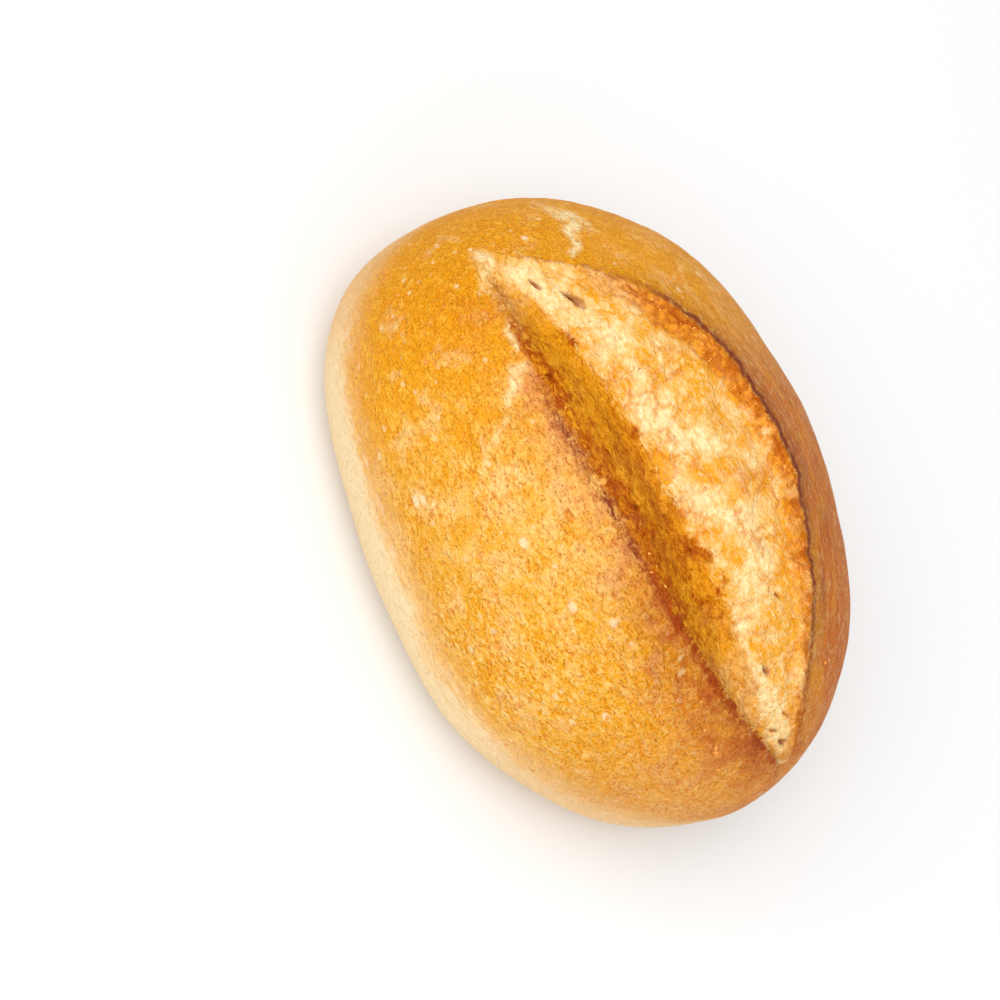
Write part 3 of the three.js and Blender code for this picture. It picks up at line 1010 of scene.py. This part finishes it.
def valley_colour(net, finish, at, crumb):
    """The golden wall and bed of the valley: its hollows brown, its crags golden. Its colour is partly
    the old crumb's own and partly painted shade, deepest along the middle of the split, and the brown in
    its hollows and right under the lip is painted shade.
    """
    along, peel, cloud, share = at["along"], at["peel"], at["cloud"], at["share"]
    edge = share + cloud * 0.24 + peel * 0.1
    inside = net.rise(edge, 0.41, 0.35) * net.rise(along, 0.9, 0.3) * net.rise(along, -1.0, -0.7)
    # Painted shade: browner right under the lip.
    valley_shade_under_lip = net.rise(share, 0.12, 0.0)
    height = at["swell"] * 1.2 + cloud * 1.4 + at["curls"] * 1.6 + peel * 1.6 - valley_shade_under_lip * 0.5
    # Partly painted shade: the valley colour is deepest along the middle of the split.
    lit = net.blend(0.45 + net.bell(along + 0.05, 0.42) * 0.5, finish.gold, finish.valley)
    # Partly painted shade: low relief, together with the noises, tints towards brown and high relief
    # towards gold.
    rough = tinted(net, lit, height, 1.5, finish.crumb_gold, finish.brown)
    rough = tinted(net, rough, at["grit"], 1.6, finish.crumb_gold, finish.brown)
    return net.blend(inside * 0.96, crumb, rough)


def ear_colour(net, finish, at, crumb):
    """The toasted band of small torn cells just inside the ear, widest near the blunt end."""
    cloud, from_ear, along = at["cloud"], at["from_ear"], at["along"]
    reach = 1.9 + 2.8 * net.bell(at["x"] + 26.0, 12.0)
    edge = from_ear + at["patch"] * 7.0 + cloud * 4.0 + at["peel"] * 2.0
    band = net.rise(edge / reach, -1.3, -0.6) * net.rise(along, -0.9, -0.6)
    height = at["swell"] * 0.9 + at["peel"] * 1.2 + cloud * 0.8
    torn_cells = tinted(net, finish.toast, height, 1.8, finish.crumb_gold, finish.brown)
    torn_cells = net.blend(at["web"] * 0.6, torn_cells, finish.brown)
    crumb = net.blend(band * (0.9 - net.rise(along, 0.0, 0.4) * 0.35), crumb, torn_cells)
    burnt = net.rise(from_ear + cloud * 5.0 - at["peel"] * 3.0, -1.3, 0.2)
    return net.blend(burnt * 0.6, crumb, finish.brown)


def crumb_colour(net, finish, at):
    """Cream domes with golden rims and pools, stretched towards both ends. The gold in the hollows and
    along the bubbles' rims is partly painted shade, and the brown just under the lip is painted shade.
    """
    cloud, along, tone = at["cloud"], at["along"], at["tone"]
    ends = near_ends(net, along)
    # Partly painted shade: more gold where the bubbles' relief is low.
    pools = 0.84 + at["patch"] * 2.6 + cloud * 1.8 - at["swell"] + tone
    crumb = net.blend(pools, finish.crumb, finish.crumb_gold)
    crumb = net.blend(tone * -0.7 + at["peel"] * 2.0 - 0.1, crumb, finish.crumb)
    crumb = tinted(net, crumb, at["curls"], 2.0, finish.crumb, finish.crumb_gold)
    # Partly painted shade: gold and amber in the creases between the bubbles.
    crumb = net.blend(at["web"] * 0.4, crumb, finish.crumb_gold)
    crumb = net.blend(at["wall"] * 0.7 * (1.0 - ends), crumb, finish.amber_crust)
    crumb = tinted(net, crumb, at["stretch"], 0.9 + ends * 1.6, finish.crumb, finish.crumb_gold)
    crumb = tinted(net, crumb, at["peel"], 1.7, finish.crumb, finish.crumb_gold)
    crumb = tinted(net, crumb, at["grit"], 0.9, finish.crumb, finish.toast)
    crumb = valley_colour(net, finish, at, crumb)
    crumb = ear_colour(net, finish, at, crumb)
    # Painted shade: brown on the crumb just under the lip, in the half towards the blunt end.
    crumb_shade_under_lip = net.bell(at["from_lip"] - 1.3, 1.1) * net.rise(along, 0.6, 0.0)
    crumb = net.blend(crumb_shade_under_lip * (0.25 + cloud * 3.0 - at["peel"] * 2.0), crumb, finish.brown)
    torn_edge = net.bell(at["from_lip"] - 0.5, 0.4)
    return net.blend(torn_edge * (at["peel"] * 2.6 + cloud * 3.0), crumb, finish.crumb_gold)


def bread_fields(net):
    """Place in mm, the surface's own fields, and the noises that colour and bump share."""
    place = net.node("ShaderNodeSeparateXYZ", inputs={0: net.node("ShaderNodeTexCoord", output=3)})
    at = {name: place.output(i) / MM for i, name in enumerate("xyz")}
    for name in SHADED_FIELDS:
        at[name] = net.node("ShaderNodeAttribute", {"attribute_name": name}, output=2)
    for name, grain in NOISES.items():
        at[name] = fibre(net, **grain)
    along_ear = net.node("ShaderNodeCombineXYZ", inputs={0: at["x"] * 0.1, 1: at["from_ear"]})
    at["streak"] = noise(net, along_ear, 0.9, 2.0, 0.7)
    return at


def bread_colour(net, finish, at):
    """The crust and crumb colours over the whole roll."""
    crust = crust_colour(net, finish, at)
    crust = browned_colour(net, finish, at, crust)
    crust = flank_colour(net, finish, at, crust)
    crust = net.blend(at["mark"] * (0.8 + at["peel"] * 3.0 + at["cloud"] * 2.0), crust, finish.crumb)
    skin = net.blend(at["torn"], crust, crumb_colour(net, finish, at))
    line = net.bell(at["from_ear"] - 0.6, 0.7) + net.bell(at["from_ear"] - 1.4, 2.6) * 0.4
    line = line * at["ease"] * net.rise(at["along"], -0.95, -0.5) * net.rise(at["from_ear"], -0.3, 0.1)
    skin = net.blend(line * (0.9 - at["peel"] * 1.6), skin, finish.plum)
    # Painted shade: brown inside the open pores.
    return net.blend(at["pore"] * 0.85, skin, finish.brown)


def bread_material(finish):
    """Semi-matt crust and soft matt crumb in one skin."""
    material, net, shader = new_material("Baked bread")
    at = bread_fields(net)
    torn = at["torn"]
    crumbly = at["stretch"] * 0.35
    height = (at["peel"] * 1.2 + at["grit"] * 0.7) * (1.0 - torn * 0.2) + torn * crumbly
    bump = net.node("ShaderNodeBump", inputs={"Distance": BREAD_BUMP, "Height": height})
    feed(net, shader, {
        "Base Color": bread_colour(net, finish, at),
        "Roughness": 0.5 + torn * 0.28 - at["peel"] * 0.3,
        "Normal": bump,
        "Specular IOR Level": 0.07,
    })
    return material


def small_material(name, low, high, roughness):
    """A mottled colour for small pieces."""
    material, net, shader = new_material(name)
    place = coordinates(net)
    mottle = noise(net, place, 0.9, 2.0, 0.6)
    tint = net.blend(mottle * 2.4 + 0.5, low, high)
    fine = noise(net, place, 4.0)
    inputs = {"Strength": 0.5, "Distance": SMALL_BUMP, "Height": fine}
    bump = net.node("ShaderNodeBump", inputs=inputs)
    feed(net, shader, {
        "Base Color": tint,
        "Roughness": roughness + mottle * 0.2,
        "Normal": bump,
    })
    return material


# --- Operators -----------------------------------------------------------------------------------


def link_piece(name, mesh):
    """Puts the mesh in the scene as an object at the origin."""
    piece = bpy.data.objects.new(name, mesh)
    bpy.context.scene.collection.objects.link(piece)
    return piece


def declare(piece):
    """Every piece is part of the one body."""
    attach(piece, BODY)


def scatter(name, values):
    """A piece of small lumps on the finished crust."""
    piece = link_piece(name, bpy.data.objects["roll_crust"].data.copy())
    apply_tree(piece, scatter_tree, values)
    piece.data.name = name
    piece.data.shade_smooth()
    declare(piece)


class ROLL_OT_body(bpy.types.Operator):
    """Build the roll's crust and torn crumb"""

    bl_idname = "roll.body"
    bl_label = "Crust and Crumb"

    def execute(self, context):
        form, finish = context.scene.roll_form, context.scene.roll_finish
        rings, fields = roll_surface(form)
        roll = link_piece("roll_crust", closed_mesh("roll_crust", rings, fields))
        values = {
            "Bubble Size": form.bubble_size,
            "Bubble Height": form.bubble_height,
            "Crag Height": form.crag_height,
            "Wrinkle Size": form.wrinkle_size,
            "Wrinkle Height": form.wrinkle_height,
            "Seed": form.seed,
            "Material": bread_material(finish),
        }
        apply_tree(roll, relief_tree, values)
        declare(roll)
        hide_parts(NODE)
        return {"FINISHED"}


class ROLL_OT_blisters(bpy.types.Operator):
    """Scatter small pale blisters over the crust"""

    bl_idname = "roll.blisters"
    bl_label = "Blisters"

    def execute(self, context):
        details, finish = context.scene.roll_details, context.scene.roll_finish
        values = {
            "Field": "blistered",
            "Density": details.blister_density,
            "Radius": details.blister_size,
            "Flatness": 0.26,
            "Tilt": 0.2,
            "Roughness": 0.5,
            "Seed": 21,
            "Material": small_material("Blisters", finish.amber_crust, finish.apricot, 0.5),
        }
        scatter("crust_blisters", values)
        return {"FINISHED"}


class ROLL_OT_flakes(bpy.types.Operator):
    """Scatter toasted crumbs along the ear and the lip"""

    bl_idname = "roll.flakes"
    bl_label = "Toasted Flakes"

    def execute(self, context):
        details, finish = context.scene.roll_details, context.scene.roll_finish
        values = {
            "Field": "flaked",
            "Density": details.flake_density,
            "Radius": details.flake_size,
            "Flatness": 0.3,
            "Tilt": 1.5,
            "Roughness": 0.8,
            "Seed": 5,
            "Material": small_material("Toasted flakes", finish.toast, finish.blush, 0.6),
        }
        scatter("ear_flakes", values)
        return {"FINISHED"}


class ROLL_OT_stage(bpy.types.Operator):
    """Lay the pale floor, hang the soft light and aim the camera"""

    bl_idname = "roll.stage"
    bl_label = "Floor, Light and Camera"

    camera_right = Vector((0.47454, 0.70987, 0.52047))
    camera_up = Vector((-0.87400, 0.45021, 0.18284))
    camera_back = Vector((-0.10453, -0.54166, 0.83408))
    target = Vector((-10.0, -17.17, 22.0)) * MM
    distance = 519.6 * MM
    lens = 120.0
    sensor_width = 36.0
    floor_half = 2.0
    lamp_size = 0.9
    lamp_distance = 0.9
    key_direction = (-0.30, -0.42, 0.84)
    low_direction = (0.75, -0.55, 0.36)

    def execute(self, context):
        look = context.scene.roll_stage
        self.lay_floor(look)
        self.hang_lights(context, look)
        self.aim_camera(context)
        context.scene.view_settings.view_transform = "Standard"
        return {"FINISHED"}

    def lay_floor(self, look):
        """One pale square under the roll."""
        mesh = bpy.data.meshes.new("floor")
        half = self.floor_half
        corners = [(-half, -half, 0), (half, -half, 0), (half, half, 0), (-half, half, 0)]
        mesh.from_pydata(corners, [], [(0, 1, 2, 3)])
        floor = link_piece("floor", mesh)
        material, net, shader = new_material("Pale floor")
        feed(net, shader, {"Base Color": (*look.floor, 1.0), "Roughness": 0.8})
        mesh.materials.append(material)

    def hang_lights(self, context, look):
        """Even light from all round, a large soft lamp above and a weaker one low at the taper."""
        world = bpy.data.worlds.new("Soft surround")
        world.use_nodes = True
        surround = world.node_tree.nodes["Background"]
        surround.inputs["Color"].default_value = (1.0, 1.0, 1.0, 1.0)
        surround.inputs["Strength"].default_value = look.fill
        context.scene.world = world
        self.hang_lamp(context, "key", look.key_power, self.key_direction)
        self.hang_lamp(context, "low", look.low_power, self.low_direction)

    def hang_lamp(self, context, name, power, direction):
        """A square area light that faces the roll."""
        lamp = bpy.data.lights.new(name, "AREA")
        lamp.energy = power
        lamp.size = self.lamp_size
        holder = bpy.data.objects.new(name, lamp)
        direction = Vector(direction).normalized()
        holder.location = direction * self.lamp_distance
        holder.rotation_mode = "QUATERNION"
        holder.rotation_quaternion = direction.to_track_quat("Z", "Y")
        context.scene.collection.objects.link(holder)

    def aim_camera(self, context):
        """Points the camera down at the roll, rolled to one side."""
        optics = bpy.data.cameras.new("camera")
        optics.lens = self.lens
        optics.sensor_width = self.sensor_width
        optics.clip_start = 10 * MM
        camera = bpy.data.objects.new("camera", optics)
        axes = Matrix((self.camera_right, self.camera_up, self.camera_back)).transposed()
        camera.matrix_world = axes.to_4x4()
        camera.location = self.target + self.camera_back * self.distance
        context.scene.collection.objects.link(camera)
        context.scene.camera = camera


class ROLL_PT_sidebar(bpy.types.Panel):
    """The roll's pieces and its stage"""

    bl_idname = "ROLL_PT_sidebar"
    bl_label = "Crusty Roll"
    bl_space_type = "VIEW_3D"
    bl_region_type = "UI"
    bl_category = "Roll"

    def draw(self, context):
        layout = self.layout
        for operator in OPERATORS:
            layout.operator(operator.bl_idname)
        for group in SETTINGS:
            box = layout.box()
            for name in SETTINGS[group].__annotations__:
                box.prop(getattr(context.scene, group), name)


SETTINGS = {
    "roll_form": RollForm,
    "roll_finish": RollFinish,
    "roll_details": RollDetails,
    "roll_stage": RollStage,
}
OPERATORS = (ROLL_OT_body, ROLL_OT_blisters, ROLL_OT_flakes, ROLL_OT_stage)


def register():
    """Adds the settings, the operators and the panel to Blender."""
    for name, group in SETTINGS.items():
        bpy.utils.register_class(group)
        setattr(bpy.types.Scene, name, PointerProperty(type=group))
    for operator in OPERATORS:
        bpy.utils.register_class(operator)
    bpy.utils.register_class(ROLL_PT_sidebar)


def unregister():
    """Takes them away again, in the opposite order."""
    bpy.utils.unregister_class(ROLL_PT_sidebar)
    for operator in reversed(OPERATORS):
        bpy.utils.unregister_class(operator)
    for name, group in SETTINGS.items():
        delattr(bpy.types.Scene, name)
        bpy.utils.unregister_class(group)


def main():
    """Builds every piece."""
    register()
    bpy.ops.roll.body()
    bpy.ops.roll.blisters()
    bpy.ops.roll.flakes()
    bpy.ops.roll.stage()


if __name__ == "__main__":
    main()
